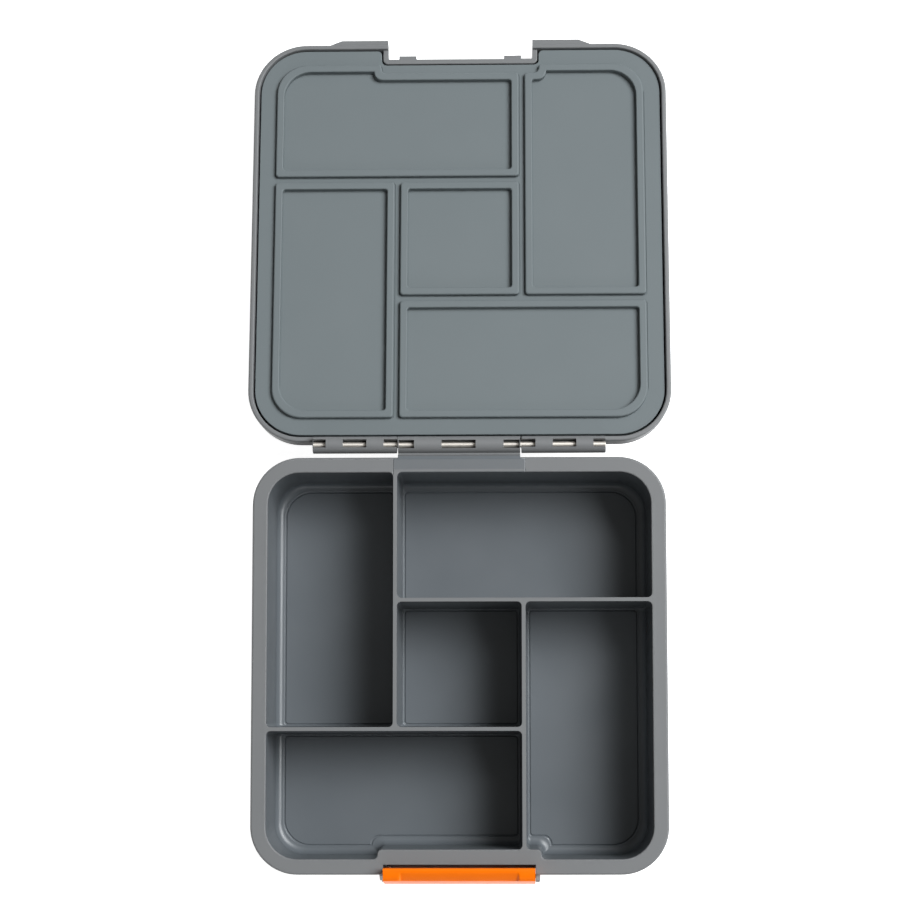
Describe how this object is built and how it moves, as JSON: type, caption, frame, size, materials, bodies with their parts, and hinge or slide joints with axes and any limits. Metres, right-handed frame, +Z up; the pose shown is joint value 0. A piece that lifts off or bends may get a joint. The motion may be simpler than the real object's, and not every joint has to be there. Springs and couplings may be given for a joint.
{
  "type": "bento lunch box",
  "caption": "Square leakproof lunch box lying open: compartments in a pinwheel, a hinged lid with a silicone seal and a front snap latch.",
  "frame": {"origin": "centre of the base's flat underside, on the surface the box stands on", "axes": "+Z up, +X along the hinge to the right as seen from the latch, +Y from the latch towards the hinge and the open lid"},
  "size_m": [0.1856, 0.3771, 0.049],
  "materials": {
    "shell_plastic": "warm mid-gray moulded plastic, satin to glossy",
    "seal_silicone": "matte cool-gray silicone",
    "latch_plastic": "glossy bright orange moulded plastic",
    "pin_steel": "drawn stainless rod, fine lines along its length"
  },
  "bodies": {
    "base": {"base_tub": "shell_plastic", "hinge_pin": "pin_steel", "latch_pin": "pin_steel"},
    "lid": {"lid_shell": "shell_plastic", "lid_seal": "seal_silicone"},
    "latch": {"front_latch": "latch_plastic"}
  },
  "joints": [
    {"name": "lid_hinge", "type": "hinge", "parent": "base", "child": "lid", "pos_m": [0, 0.0952, 0.039], "axis": [1, 0, 0], "range_deg": [0, 187.3]},
    {"name": "latch_pivot", "type": "hinge", "parent": "base", "child": "latch", "pos_m": [0, -0.0912, 0.012], "axis": [1, 0, 0], "range_deg": [0, 100]}
  ]
}
